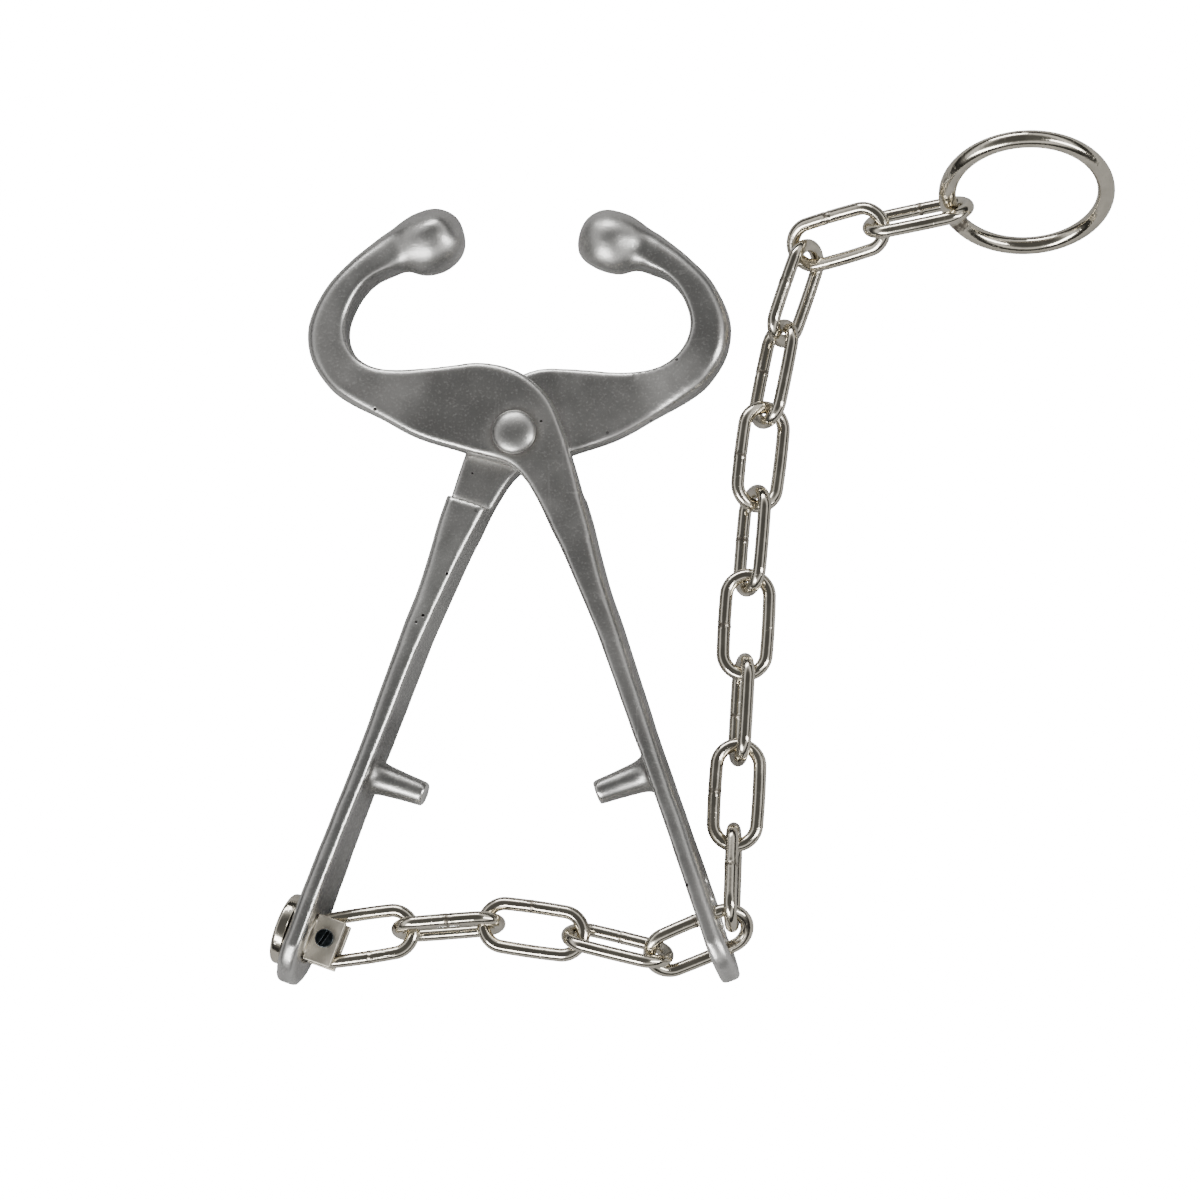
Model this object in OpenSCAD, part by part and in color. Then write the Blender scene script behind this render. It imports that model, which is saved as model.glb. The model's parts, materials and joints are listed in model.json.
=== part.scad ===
// Cattle nose lead: two cast levers crossed at a rivet, a chain held by a
// swivel on one handle and running through a keyhole in the other, and a ring.
// It lies flat: +X to the ring, +Y to the jaws, +Z up, in millimetres.
// Origin: middle of the whole object's outline, on the surface it lies on.

/* [Levers] */
// Length of the tongs from the balls to the handle ends
tongs_length = 210; // [190:1:230]
// Thickness of one lever where the two lap
lap_t = 6; // [5:0.5:7.5]
// Depth of the jaw arms
arm_depth = 10.5; // [8:0.5:13]
// Diameter of the balls on the jaws
ball_d = 17.4; // [14:0.2:20]
// Depth of the broad handle ends
end_depth = 22.5; // [20:0.5:27]
// Diameter of the stop pegs at their tips
peg_d = 5.8; // [4:0.2:8]
// Length of the stop pegs
peg_length = 14.5; // [8:0.5:15.5]

/* [Pivot rivet] */
// Diameter of the rivet's shank
rivet_d = 8; // [6:0.5:9.5]
// Diameter of the rivet's domed heads
rivet_head_d = 11.8; // [10:0.2:15]
// Height of the rivet's domed heads
rivet_head_h = 3.2; // [2:0.2:4]

/* [Chain] */
// Diameter of the chain wire
wire_d = 3.5; // [2.8:0.1:3.6]
// Inner width of a link
link_inner_w = 7.2; // [6.8:0.2:8]
// Inner diameter of the keyhole's round part
keyhole_d = 17.6; // [16:0.2:18.4]

/* [Ring] */
// Diameter of the ring's wire
ring_wire_d = 4.6; // [3.6:0.1:5]
// Diameter of the ring, outside
ring_d = 46; // [40:1:60]

/* [Swivel] */
// Diameter of the button on the outside of the handle
button_d = 19; // [16:0.5:22]
// Thickness of the button
button_t = 3.2; // [2:0.2:5]
// Width of the clevis, and diameter of its boss
clevis_w = 12.4; // [11:0.2:13]
// Diameter of the screw's head
screw_head_d = 4.9; // [4.2:0.1:6]

/* [Hidden] */
$fn = 48;
LINK_COUNT = 15;
LINK_NAMES = ["chain_link_01", "chain_link_02", "chain_link_03", "chain_link_04",
    "chain_link_05", "chain_link_06", "chain_link_07", "chain_link_08",
    "chain_link_09", "chain_link_10", "chain_link_11", "chain_link_12",
    "chain_link_13", "chain_link_14", "chain_link_15"];

CAST = "#8d8b87";
NICKEL = "#b9b4a8";
BLUED = "#3a3f45";

k = tongs_length / 210;      // plan scale of the levers
fit = 0.05;                  // radial clearance of a shaft in its bore
play = 0.3;                  // gap between parts that move past each other
lap_gap = 0.2;               // gap between the two lap faces

// From the pivot's own frame to the object's frame
origin_shift = [-47.6 * k, 36.5 * k, end_depth / 2];

// Heading of a handle, its outward normal, and the hole near its end
handle_angle = -70.3;
hole_at = [53.8, -131.7] * k;
handle_t = 5 * k;            // thickness of a handle near its end
shoulder = 21;               // from the pivot to the step below the lap

// ---- Lever outline, for the lever in front: its jaw is on the left and its
// handle on the right. Each row is one upright slice: a point on the inner or
// right edge, a point on the outer or left edge, the bottom, the top, and the
// radius of the slice's corners, heights counted from the lap.
arm = arm_depth / 2;
full = lap_t;
deep = end_depth / 2;
BALL_AT = [-24, 54.3];
BALL_HEADING = 17;

function ball_slice(along, half) =
    let (
        a = BALL_HEADING,
        c = BALL_AT + along * [cos(a), sin(a)],
        n = half * [-sin(a), cos(a)],
        z = half * 0.95
    )
    [c.x - n.x, c.y - n.y, c.x + n.x, c.y + n.y, -z, z, z];

ball_r = ball_d / 2 / k;
BALL = [for (s = [[1.01, 0.1], [0.96, 0.36], [0.8, 0.63], [0.5, 0.88],
    [0.15, 1], [-0.25, 0.98], [-0.65, 0.84]]) ball_slice(s[0] * ball_r, s[1] * ball_r)];

JAW = [
    [-31.2, 47.1, -34.2, 56.6, -arm, arm, 5],
    [-35.6, 45.6, -39.6, 53.4, -arm, arm, 4],
    [-39.8, 43.2, -46.1, 48.4, -arm, arm, 3.5],
    [-43.6, 38.8, -52.6, 41.0, -arm, arm, 3.5],
    [-46.2, 32.0, -56.6, 31.4, -arm, arm, 3.5],
    [-45.8, 26.5, -55.9, 22.6, -arm, arm + 0.3, 3],
    [-42.5, 21.5, -51.3, 14.8, -arm + 0.8, arm + 0.5, 2.5],
    [-37.0, 18.6, -45.0, 9.9, -arm + 2.6, full, 2.2],
    [-28.5, 18.0, -36.0, 4.9, lap_gap / 2, full, 1.8],
    [-18.5, 18.8, -25.5, -0.6, lap_gap / 2, full, 1.5],
    [-10.0, 19.5, -14.0, -4.3, lap_gap / 2, full, 1.5]
];

HANDLE = [
    [-3.0, 18.3, -4.5, -6.9, -full, full, 1.5],
    [3.2, 15.2, -0.5, -8.9, -full, full, 1.5],
    [9.0, 9.0, 2.4, -11.8, -full, full, 1.5],
    [13.2, -0.6, 4.9, -15.6, -full, full, 1.6],
    [16.4, -10.4, 7.6, -20.6, -full, full, 1.9],
    [18.4, -17.2, 10.0, -25.6, -full - 0.3, full + 0.3, 2.2],
    [21.0, -26.0, 13.2, -32.0, -full - 0.8, full + 0.8, 2.4],
    [24.2, -38.3, 17.2, -41.0, -full - 1.2, full + 1.2, 2.4],
    [29.5, -53.8, 23.6, -56.0, -full - 2, full + 2, 2.4],
    [33.2, -65.1, 27.8, -67.2, -full - 2.5, full + 2.5, 2.3],
    [39.4, -83.3, 34.5, -85.2, -deep + 2.6, deep - 2.6, 2.3],
    [47.0, -104.7, 42.3, -106.5, -deep + 1.2, deep - 1.2, 2.2],
    [53.8, -124.0, 49.1, -125.8, -deep, deep, 2.2],
    [57.4, -134.2, 52.7, -136.0, -deep, deep, 2.2]
];

// The handle's end is round when seen along the plate's normal
function end_slice(before) =
    let (
        r = deep / k,
        tip = [60.74, -143.6],
        back = before * [cos(handle_angle), sin(handle_angle)],
        across = handle_t / k * [sin(handle_angle), -cos(handle_angle)],
        z = sqrt(max(0.01, deep * deep - pow(max(0, r - before) * k, 2)))
    )
    [tip.x - back.x, tip.y - back.y, tip.x - back.x + across.x,
        tip.y - back.y + across.y, -z, z, 2.2];

HANDLE_END = [for (before = [8, 5.5, 3.4, 1.8, 0.7, 0.12]) end_slice(before)];

// ---- Smooth loft through the slices
STEPS = 2;

function blend(a, b, c, d, t) =
    0.5 * (2 * b + (c - a) * t + (2 * a - 5 * b + 4 * c - d) * t * t
        + (3 * b - a - 3 * c + d) * t * t * t);

function smooth(rows) =
    let (n = len(rows) - 1)
    [for (i = [0 : n - 1]) for (j = [0 : STEPS - 1])
        blend(rows[max(i - 1, 0)], rows[i], rows[i + 1], rows[min(i + 2, n)], j / STEPS),
        rows[n]];

CORNER = 4; // facets in each corner of a slice

function ring_points(s) =
    let (
        from = [s[0], s[1]] * k,
        to = [s[2], s[3]] * k,
        w = norm(to - from),
        u = (to - from) / w,
        z0 = max(s[4], -deep),
        z1 = min(s[5], deep),
        r = min(s[6], w / 2 - 0.02, (z1 - z0) / 2 - 0.02),
        centres = [[w - r, z1 - r], [r, z1 - r], [r, z0 + r], [w - r, z0 + r]]
    )
    [for (c = [0 : 3]) for (i = [0 : CORNER])
        let (
            a = 90 * c + 90 * i / CORNER,
            t = centres[c][0] + r * cos(a),
            p = from + u * t
        )
        [p.x, p.y, centres[c][1] + r * sin(a)]];

function middle(points) = [for (c = [0 : 2]) sum([for (p = points) p[c]]) / len(points)];

function sum(v, i = 0) = i == len(v) - 1 ? v[i] : v[i] + sum(v, i + 1);

module loft(rows) {
    rings = [for (s = rows) ring_points(s)];
    n = len(rings[0]);
    last = len(rings) - 1;
    first_tip = (last + 1) * n;
    last_tip = first_tip + 1;
    polyhedron(
        points = concat([for (ring = rings) each ring], [middle(rings[0]), middle(rings[last])]),
        faces = concat(
            [for (i = [0 : n - 1]) [i, first_tip, (i + 1) % n]],
            [for (r = [0 : last - 1]) for (i = [0 : n - 1])
                [r * n + i, r * n + (i + 1) % n, (r + 1) * n + (i + 1) % n, (r + 1) * n + i]],
            [for (i = [0 : n - 1]) [last * n + (i + 1) % n, last_tip, last * n + i]]
        ),
        convexity = 6
    );
}

// ---- Parts of a lever
// Puts +Z on the handle plate's normal at the hole near its end
module at_hole() {
    translate([hole_at.x, hole_at.y, 0])
        rotate([0, 90, handle_angle + 90])
            children();
}

module lap_recess() {
    rotate(handle_angle)
        translate([-26, -24, lap_gap / 2 - 20])
            cube([26 + shoulder, 48, 20]);
}

module stop_peg() {
    base = [38.3, -89.4] * k;
    root = 2.4;
    translate([base.x, base.y, 0])
        rotate([0, -90, handle_angle + 90]) {
            cylinder(h = peg_length + root, d1 = peg_d + 1.8, d2 = peg_d);
            cylinder(h = root + 2.2, d1 = peg_d + 5, d2 = peg_d + 1.2);
        }
}

// The two castings differ a little: the rear one's jaw is smaller in plan
function resized(rows, f) =
    [for (s = rows) [s[0] * f.x, s[1] * f.y, s[2] * f.x, s[3] * f.y, s[4], s[5], s[6]]];

module plain_lever(jaw_size) {
    difference() {
        union() {
            loft(smooth(concat(resized(concat(BALL, JAW), jaw_size), HANDLE, HANDLE_END)));
            stop_peg();
        }
        lap_recess();
    }
}

module keyhole() {
    slot_w = wire_d + 1.5;
    slot_top = 13;
    through = handle_t + 10;
    at_hole() {
        cylinder(h = through, d = keyhole_d, center = true);
        translate([0, slot_top / 2, 0])
            cube([slot_w, slot_top, through], center = true);
        translate([0, slot_top, 0])
            cylinder(h = through, d = slot_w, center = true);
    }
}

module front_lever() {
    color(CAST)
        translate(origin_shift)
            difference() {
                plain_lever([1, 1]);
                cylinder(h = 30, d = rivet_d + 2 * fit, center = true);
                keyhole();
            }
}

module turned_over() {
    rotate([0, 180, 0])
        children();
}

module rear_lever() {
    color(CAST)
        translate(origin_shift)
            turned_over()
                difference() {
                    plain_lever([0.985, 0.975]);
                    cylinder(h = 30, d = rivet_d, center = true);
                    at_hole()
                        cylinder(h = handle_t + 10, d = clevis_w + 2 * fit, center = true);
                }
}

// ---- Rivet: a flat-topped dome on each side
module rivet_head() {
    r = rivet_head_d / 2;
    h = rivet_head_h;
    rotate_extrude()
        intersection() {
            difference() {
                translate([0, 0.35 * h])
                    scale([r, 0.72 * h])
                        circle(r = 1, $fn = 48);
                translate([-2 * r, -2 * h])
                    square([2 * r, 4 * h]);
            }
            square([r, h]);
        }
}

module pivot_rivet() {
    color(CAST)
        translate(origin_shift) {
            cylinder(h = 2 * lap_t + 0.4, d = rivet_d, center = true);
            translate([0, 0, lap_t + 0.1])
                rivet_head();
            translate([0, 0, -lap_t - 0.1])
                mirror([0, 0, 1])
                    rivet_head();
        }
}

// ---- Swivel, drawn along the plate's normal: +Z points inward to the chain
button_gap = play;
clevis_reach = 7.8;          // how far the cheeks stand off the plate
slot_w = wire_d + 1;            // between the cheeks
slot_floor = 0.6;            // from the plate's middle to the slot's floor
cheek_t = 1.9;
spigot_d = 5;
screw_out = 6.6;             // from the plate's middle to the screw's axis
screw_side = 0.5;            // from the swivel's axis to the screw's axis
screw_d = 3.2;

module at_swivel() {
    translate(origin_shift)
        translate([-hole_at.x, hole_at.y, 0])
            rotate([0, 90, -handle_angle - 90])
                children();
}

module swivel_button() {
    outer = handle_t / 2 + button_gap;
    edge = 0.9;
    color(NICKEL)
        at_swivel() {
            translate([0, 0, -outer - button_t])
                rotate_extrude()
                    polygon([[0, 0], [button_d / 2 - edge, 0], [button_d / 2, edge],
                        [button_d / 2, button_t - 0.3], [button_d / 2 - 0.3, button_t],
                        [0, button_t]]);
            translate([0, 0, -outer])
                cylinder(h = 2.4, d = spigot_d);
        }
}

module swivel_clevis() {
    far = handle_t / 2 + clevis_reach;
    near = handle_t / 2 + play;
    side = slot_w + 2 * cheek_t;
    color(NICKEL)
        at_swivel()
            difference() {
                union() {
                    translate([0, 0, -handle_t / 2 + 0.1])
                        cylinder(h = handle_t / 2 + near - 0.1, d = clevis_w);
                    translate([-side / 2, -clevis_w / 2, near])
                        cube([side, clevis_w, far - near]);
                }
                translate([-slot_w / 2, -clevis_w, slot_floor])
                    cube([slot_w, 2 * clevis_w, far]);
                translate([0, 0, -handle_t])
                    cylinder(h = handle_t - 0.4, d = spigot_d);
                translate([0, screw_side, screw_out])
                    rotate([0, 90, 0])
                        cylinder(h = 2 * side, d = screw_d + 0.1, center = true);
            }
}

module clevis_screw() {
    side = slot_w + 2 * cheek_t;
    head_h = 1.4;
    color(BLUED)
        at_swivel()
            translate([0, screw_side, screw_out])
                rotate([0, -90, 0])
                    difference() {
                        union() {
                            translate([0, 0, -side / 2 - 0.4])
                                cylinder(h = side + 0.5, d = screw_d);
                            translate([0, 0, side / 2])
                                cylinder(h = head_h, d = screw_head_d);
                        }
                        rotate(-15)
                            translate([0, 0, side / 2 + head_h])
                                cube([0.8, 2 * screw_head_d, 1.4], center = true);
                    }
}

// ---- Chain. Each row is one link from the swivel to the ring: its heading in
// plan, how steeply it rises, and how far it is rolled about its own length.
LAY = [
    [8, 0, 0],
    [4, 0, 82],
    [-8.5, 0, 6],
    [-14, 0, -60],
    [22.5, 0, 42],
    [91, -16, 93],
    [87.5, 0, 10],
    [87.5, 0, -69],
    [87.5, 0, 8],
    [86, 0, -55],
    [84, 0, 32],
    [79.5, 0, -48],
    [72, 0, 65],
    [9.5, 20, 20],
    [9.5, 4, -54]
];

// Where a link lies round the corner of the one before, not at its very end:
// the link before, and how far the next one is shifted
CORNERS = [[4, [-0.3, -0.3, -0.3]], [5, [-1.4, 1.2, 3.4]], [13, [-2.2, 1.4, 0.5]]];

link_step = 22.5 * k;                 // from contact to contact
link_gap = 0.5;                       // between the wires of two links
bend_r = (link_inner_w + wire_d) / 2; // of the wire's middle in a link's end
overlap = wire_d + link_gap;          // between two wires' middles in a contact
link_span = link_step + overlap;      // between the wire's middles at the ends

function heading(l) = [cos(l[0]) * cos(l[1]), sin(l[0]) * cos(l[1]), sin(l[1])];

// The first link starts round the screw
turn = -handle_angle - 90;
screw_at = [-hole_at.x + screw_out * cos(turn) - screw_side * sin(turn),
    hole_at.y + screw_out * sin(turn) + screw_side * cos(turn), 0];
first_start = screw_at - heading(LAY[0]) * (screw_d / 2 + link_gap + wire_d / 2 - overlap / 2);

function corner_shift(i) = sum([[0, 0, 0], for (c = CORNERS) if (c[0] == i) c[1]]);

function contact(i) = i == 0 ? first_start
    : contact(i - 1) + link_step * heading(LAY[i - 1]) + corner_shift(i);

module chain_link(i) {
    straight = link_span - 2 * bend_r;
    l = LAY[i];
    color(NICKEL)
        translate(origin_shift + contact(i) + heading(l) * link_step / 2)
            rotate([0, 0, l[0]])
                rotate([0, -l[1], 0])
                    rotate([l[2], 0, 0]) {
                        for (s = [-1, 1]) {
                            translate([-straight / 2, s * bend_r, 0])
                                rotate([0, 90, 0])
                                    cylinder(h = straight, d = wire_d);
                            translate([s * straight / 2, 0, 0])
                                rotate([0, 0, s * 90 - 180])
                                    rotate_extrude(angle = 180)
                                        translate([bend_r, 0])
                                            circle(d = wire_d);
                        }
                    }
}

// ---- Ring: it leans up from the surface, hooked in the last link's end
ring_heading = 5;
ring_lean = 64;
ring_turn = 10;              // from its level diameter to the last link
ring_r = (ring_d - ring_wire_d) / 2;
last = LINK_COUNT - 1;
ring_touch = contact(LINK_COUNT) + heading(LAY[last]) * (overlap / 2)
    - heading(LAY[last]) * ((wire_d + ring_wire_d) / 2 + link_gap);
ring_middle = ring_touch
    + ring_r * cos(ring_turn) * [cos(ring_heading), sin(ring_heading), 0]
    + ring_r * sin(ring_turn) * [-sin(ring_heading) * cos(ring_lean),
        cos(ring_heading) * cos(ring_lean), sin(ring_lean)];

module lead_ring() {
    color(NICKEL)
        translate(origin_shift + ring_middle)
            rotate([0, 0, ring_heading])
                rotate([ring_lean, 0, 0])
                    rotate_extrude()
                        translate([ring_r, 0])
                            circle(d = ring_wire_d);
}

front_lever();
rear_lever();
pivot_rivet();
swivel_button();
swivel_clevis();
clevis_screw();
for (i = [0 : LINK_COUNT - 1])
    chain_link(i);
lead_ring();
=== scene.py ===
import json
import math

import bmesh
import bpy
import numpy as np
from bpy.props import FloatProperty, FloatVectorProperty, IntProperty, PointerProperty
from mathutils import Matrix, Vector, noise


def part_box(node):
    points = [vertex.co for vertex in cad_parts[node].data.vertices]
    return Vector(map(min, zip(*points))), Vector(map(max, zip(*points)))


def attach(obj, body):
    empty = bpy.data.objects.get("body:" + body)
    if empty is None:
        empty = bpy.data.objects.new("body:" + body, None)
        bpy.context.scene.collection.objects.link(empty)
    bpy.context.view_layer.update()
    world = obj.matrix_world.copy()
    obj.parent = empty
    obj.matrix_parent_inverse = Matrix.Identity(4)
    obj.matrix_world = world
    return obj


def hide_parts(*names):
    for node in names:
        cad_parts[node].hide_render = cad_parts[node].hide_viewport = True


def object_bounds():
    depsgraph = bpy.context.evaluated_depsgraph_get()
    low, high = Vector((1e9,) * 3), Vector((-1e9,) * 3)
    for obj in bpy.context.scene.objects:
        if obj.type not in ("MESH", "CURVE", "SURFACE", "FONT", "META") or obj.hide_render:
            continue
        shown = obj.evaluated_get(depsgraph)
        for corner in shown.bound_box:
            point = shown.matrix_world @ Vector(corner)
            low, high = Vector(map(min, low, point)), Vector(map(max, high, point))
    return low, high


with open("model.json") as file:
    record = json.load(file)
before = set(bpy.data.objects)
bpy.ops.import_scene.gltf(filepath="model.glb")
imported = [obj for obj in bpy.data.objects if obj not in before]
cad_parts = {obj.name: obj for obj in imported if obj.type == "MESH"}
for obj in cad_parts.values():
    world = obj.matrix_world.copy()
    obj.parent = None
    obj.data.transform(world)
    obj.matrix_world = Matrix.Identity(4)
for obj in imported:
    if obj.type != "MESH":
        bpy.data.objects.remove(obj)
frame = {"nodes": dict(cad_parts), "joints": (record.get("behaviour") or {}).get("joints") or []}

bl_info = {
    "name": "Cattle Nose Lead",
    "version": (1, 0, 0),
    "blender": (4, 5, 0),
    "location": "View3D > Sidebar > Nose Lead",
    "description": "Two cast levers with ball tips, a swivel, a welded chain and a lead ring",
    "category": "Object",
}

CAD_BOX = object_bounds()
MM = 0.001
LINKS = sorted(n for n in frame["nodes"] if n.startswith("chain_link_"))
JOINTS = {j["name"]: j for j in frame["joints"]}
PIVOT = Vector(JOINTS["jaw_pivot"]["pos_m"])
SWIVEL_HOLE = Vector(JOINTS["swivel_turn"]["pos_m"])
SWIVEL_AXIS = Vector(JOINTS["swivel_turn"]["axis"]).normalized()


# ---------------------------------------------------------------- settings
class LeverSettings(bpy.types.PropertyGroup):
    grid: FloatProperty(
        name="Casting grain", description="Size of the facets the castings are made of",
        default=0.62 * MM, unit="LENGTH")
    rounding: IntProperty(
        name="Rounding", description="How much polishing has rounded the castings' edges",
        default=7)


class ChainSettings(bpy.types.PropertyGroup):
    wire: FloatProperty(
        name="Wire", description="Diameter of the chain wire", default=3.5 * MM, unit="LENGTH")
    ring_wire: FloatProperty(
        name="Ring wire", description="Diameter of the ring's wire", default=4.6 * MM,
        unit="LENGTH")
    weld: FloatProperty(
        name="Weld", description="How far a weld stands proud of its wire", default=0.26 * MM,
        unit="LENGTH")
    bow: FloatProperty(
        name="Bow", description="How far the long sides of a link bow outwards", default=0.4 * MM,
        unit="LENGTH")


class FinishSettings(bpy.types.PropertyGroup):
    cast: FloatVectorProperty(
        name="Cast steel", description="Colour of the polished castings", subtype="COLOR",
        default=(0.43, 0.425, 0.41))
    nickel: FloatVectorProperty(
        name="Nickel", description="Colour of the plating on chain, ring and swivel",
        subtype="COLOR", default=(0.66, 0.615, 0.52))
    blued: FloatVectorProperty(
        name="Blued steel", description="Colour of the clevis screw", subtype="COLOR",
        default=(0.03, 0.037, 0.042))


class StageSettings(bpy.types.PropertyGroup):
    azimuth: FloatProperty(
        name="Camera azimuth", description="Bearing of the camera round the object",
        default=math.radians(36.7), subtype="ANGLE")
    elevation: FloatProperty(
        name="Camera elevation", description="Angle of the camera above the floor",
        default=math.radians(75.15), subtype="ANGLE")
    roll: FloatProperty(
        name="Camera roll", description="Turn of the camera about its own view",
        default=math.radians(1.0), subtype="ANGLE")
    distance: FloatProperty(
        name="Camera distance", description="From the camera to the middle of the view",
        default=1.6, unit="LENGTH")
    width: FloatProperty(
        name="View width", description="Width of what the camera takes in", default=311.7 * MM,
        unit="LENGTH")


# ---------------------------------------------------------------- finishes
# Colours of what gathers on the metal, of the painted shade in corners, slots and hollows, and of
# what shows where it is rubbed
CORNER_PAINTED_SHADE = (0.075, 0.068, 0.058, 1)
PIT_BLACK = (0.02, 0.018, 0.016, 1)
SOOT_DIRT_AND_SHADE = (0.055, 0.04, 0.028, 1)
RUBBED_BLUE = (0.22, 0.25, 0.27, 1)
SLOT_PAINTED_SHADE = (0.008, 0.008, 0.01, 1)


def node(tree, kind, place=(0, 0), **values):
    """A shader or geometry node with its plain settings made."""
    n = tree.nodes.new(kind)
    n.location = place
    for key, value in values.items():
        setattr(n, key, value)
    return n


def math_node(tree, operation, a, b=None, clamp=False):
    n = node(tree, "ShaderNodeMath", operation=operation, use_clamp=clamp)
    for socket, value in zip(n.inputs, (a, b)):
        if value is None:
            continue
        if isinstance(value, bpy.types.NodeSocket):
            tree.links.new(value, socket)
        else:
            socket.default_value = value
    return n.outputs[0]


def times(tree, a, b):
    return math_node(tree, "MULTIPLY", a, b)


def ramp(tree, source, low, high):
    """0 at low, 1 at high, smooth between them."""
    n = node(tree, "ShaderNodeMapRange", interpolation_type="SMOOTHSTEP")
    tree.links.new(source, n.inputs["Value"])
    n.inputs["From Min"].default_value = low
    n.inputs["From Max"].default_value = high
    return n.outputs["Result"]


def mix(tree, factor, a, b):
    n = node(tree, "ShaderNodeMix", data_type="RGBA")
    for socket, value in ((n.inputs[0], factor), (n.inputs[6], a), (n.inputs[7], b)):
        if isinstance(value, bpy.types.NodeSocket):
            tree.links.new(value, socket)
        else:
            socket.default_value = value
    return n.outputs[2]


def handling_marks():
    """Node group: the marks that use leaves on metal, as masks over the surface."""
    name = "Handling marks"
    if name in bpy.data.node_groups:
        return bpy.data.node_groups[name]
    g = bpy.data.node_groups.new(name, "ShaderNodeTree")
    face = g.interface
    for label, default in (("Cloud Size", 0.02), ("Grain Size", 0.0006), ("Scratch Size", 0.0012),
                           ("Pit Spacing", 0.011)):
        s = face.new_socket(label, in_out="INPUT", socket_type="NodeSocketFloat")
        s.default_value = default
    for label in ("Clouds", "Grain", "Scratches", "Pits"):
        face.new_socket(label, in_out="OUTPUT", socket_type="NodeSocketFloat")
    start, end = node(g, "NodeGroupInput"), node(g, "NodeGroupOutput")
    where = node(g, "ShaderNodeTexCoord").outputs["Object"]

    def speckle(size, detail, rough, stretch=None):
        source = where
        if stretch is not None:
            m = node(g, "ShaderNodeMapping")
            m.inputs["Scale"].default_value = stretch[0]
            m.inputs["Rotation"].default_value = stretch[1]
            g.links.new(where, m.inputs["Vector"])
            source = m.outputs[0]
        n = node(g, "ShaderNodeTexNoise")
        g.links.new(source, n.inputs["Vector"])
        g.links.new(math_node(g, "DIVIDE", 1.0, size), n.inputs["Scale"])
        n.inputs["Detail"].default_value = detail
        n.inputs["Roughness"].default_value = rough
        return n.outputs["Fac"]

    clouds = ramp(g, speckle(start.outputs["Cloud Size"], 4, 0.55), 0.36, 0.66)
    grain = speckle(start.outputs["Grain Size"], 3, 0.6)
    one = speckle(start.outputs["Scratch Size"], 2, 0.5, ((1, 0.06, 1), (0, 0, 0.35)))
    two = speckle(start.outputs["Scratch Size"], 2, 0.5, ((0.05, 1, 1), (0, 0, -0.5)))
    scratches = math_node(g, "MAXIMUM", ramp(g, one, 0.66, 0.76), ramp(g, two, 0.68, 0.78))
    cells = node(g, "ShaderNodeTexVoronoi")
    g.links.new(where, cells.inputs["Vector"])
    g.links.new(math_node(g, "DIVIDE", 1.0, start.outputs["Pit Spacing"]), cells.inputs["Scale"])
    near = math_node(g, "SUBTRACT", 1.0, ramp(g, cells.outputs["Distance"], 0.055, 0.1))
    picked = ramp(g, speckle(start.outputs["Cloud Size"], 2, 0.5), 0.5, 0.56)
    pits = times(g, near, picked)
    for label, value in (("Clouds", clouds), ("Grain", grain), ("Scratches", scratches),
                         ("Pits", pits)):
        g.links.new(value, end.inputs[label])
    return g


def marks_in(tree, **sizes):
    n = node(tree, "ShaderNodeGroup", node_tree=handling_marks())
    for key, value in sizes.items():
        n.inputs[key.replace("_", " ")].default_value = value
    return n.outputs


def attribute(tree, name):
    return node(tree, "ShaderNodeAttribute", attribute_name=name).outputs["Fac"]


def new_material(name, metallic=1.0):
    m = bpy.data.materials.new(name)
    m.use_nodes = True
    tree = m.node_tree
    shader = tree.nodes["Principled BSDF"]
    shader.inputs["Metallic"].default_value = metallic
    return m, tree, shader


def bump(tree, shader, height, strength, distance):
    n = node(tree, "ShaderNodeBump")
    n.inputs["Strength"].default_value = strength
    n.inputs["Distance"].default_value = distance
    tree.links.new(height, n.inputs["Height"])
    tree.links.new(n.outputs[0], shader.inputs["Normal"])


def clouded_roughness(tree, marks, spread, polish):
    """Roughness of a polish, duller by spread where the surface is clouded."""
    rough = math_node(tree, "MULTIPLY_ADD", marks["Clouds"], spread)
    rough.node.inputs[2].default_value = polish
    return rough


def shade(colour, factor):
    return tuple(c * factor for c in colour[:3]) + (1,)


def cast_steel(finish):
    """Satin polished casting: painted highlight on its edges, which are also smoother, painted
    shade in its corners, fine grain and a few pits.
    """
    m, tree, shader = new_material("Cast steel")
    marks = marks_in(
        tree, Cloud_Size=0.03, Grain_Size=0.0007, Scratch_Size=0.0016, Pit_Spacing=0.006)
    edge, hollow = attribute(tree, "edge"), attribute(tree, "hollow")
    base = mix(tree, marks["Clouds"], shade(finish.cast, 0.84), shade(finish.cast, 1.06))
    base = mix(tree, ramp(tree, marks["Grain"], 0.5, 0.75), base, shade(finish.cast, 1.3))
    # Painted highlight along the rounded edges, brighter than the faces
    base = mix(tree, times(tree, edge, 0.8), base, shade(finish.cast, 1.75))
    # Painted shade darkens the hollows and corners, and the ring round the rivet's head
    base = mix(tree, times(tree, hollow, 0.72), base, CORNER_PAINTED_SHADE)
    base = mix(tree, times(tree, marks["Scratches"], 0.22), base, shade(finish.cast, 1.7))
    base = mix(tree, marks["Pits"], base, PIT_BLACK)
    tree.links.new(base, shader.inputs["Base Color"])
    rough = clouded_roughness(tree, marks, 0.07, 0.33)
    rough = math_node(tree, "SUBTRACT", rough, times(tree, edge, 0.1))
    rough = math_node(tree, "ADD", rough, times(tree, hollow, 0.25), clamp=True)
    tree.links.new(rough, shader.inputs["Roughness"])
    height = times(tree, marks["Grain"], 0.5)
    height = math_node(tree, "SUBTRACT", height, times(tree, marks["Scratches"], 0.25))
    height = math_node(tree, "SUBTRACT", height, marks["Pits"])
    bump(tree, shader, height, 0.35, 0.00022)
    return m


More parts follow.
